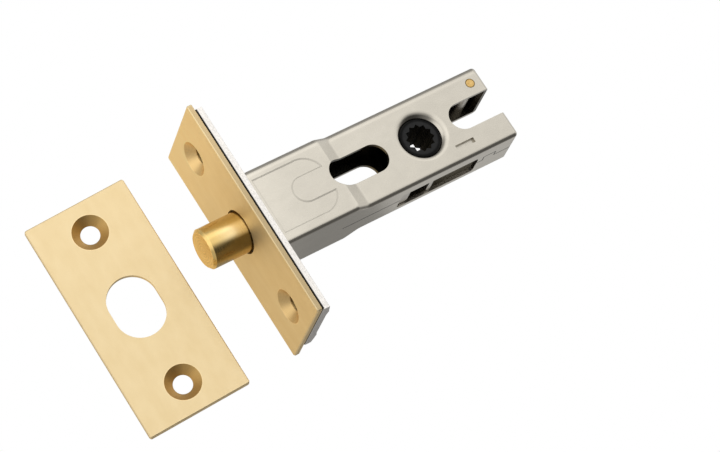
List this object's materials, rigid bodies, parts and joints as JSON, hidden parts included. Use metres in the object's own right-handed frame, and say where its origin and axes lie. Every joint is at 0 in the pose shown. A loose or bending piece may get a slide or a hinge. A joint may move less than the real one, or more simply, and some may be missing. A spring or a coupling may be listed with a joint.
{
  "type": "privacy bolt",
  "caption": "Tubular mortice privacy bolt with a flat tubular case, brass forend and round bolt, turned by a splined hub, and its separate flat strike plate.",
  "frame": {"origin": "on the bolt's axis, at the front face of the forend cover, midway between its two screw holes", "axes": "+Y into the door along the case, -Y the way the bolt is thrown, +Z along the forend, +X square to the broad case face that the picture shows"},
  "size_m": [0.026, 0.1111, 0.0591],
  "materials": {
    "satin_brass": "satin brushed",
    "bolt_brass": "fine turned",
    "nickel_plate": "nickel plated",
    "tail_steel": "zinc plated",
    "spring_steel": "rolled",
    "black_nylon": "moulded"
  },
  "bodies": {
    "case": {"forend_cover": "satin_brass", "forend_tray": "nickel_plate", "case_shell_right": "nickel_plate", "case_shell_left": "nickel_plate", "bolt_guide": "black_nylon", "detent_leaf": "spring_steel", "rear_rivet": "bolt_brass", "rear_spacer": "tail_steel", "strike_plate": "satin_brass"},
    "bolt": {"bolt_nose": "bolt_brass", "bolt_tail": "tail_steel"},
    "hub": {"hub": "black_nylon"}
  },
  "joints": [
    {"name": "bolt_slide", "type": "slide", "parent": "case", "child": "bolt", "axis": [0, 1, 0], "range_m": [0, 0.01]},
    {"name": "hub_turn", "type": "hinge", "parent": "case", "child": "hub", "pos_m": [0, 0.049, 0], "axis": [1, 0, 0], "range_deg": [0, 90]}
  ],
  "couplings": [
    {"joint": "hub_turn", "follows": "bolt_slide", "rad_per_m": 157.07}
  ]
}
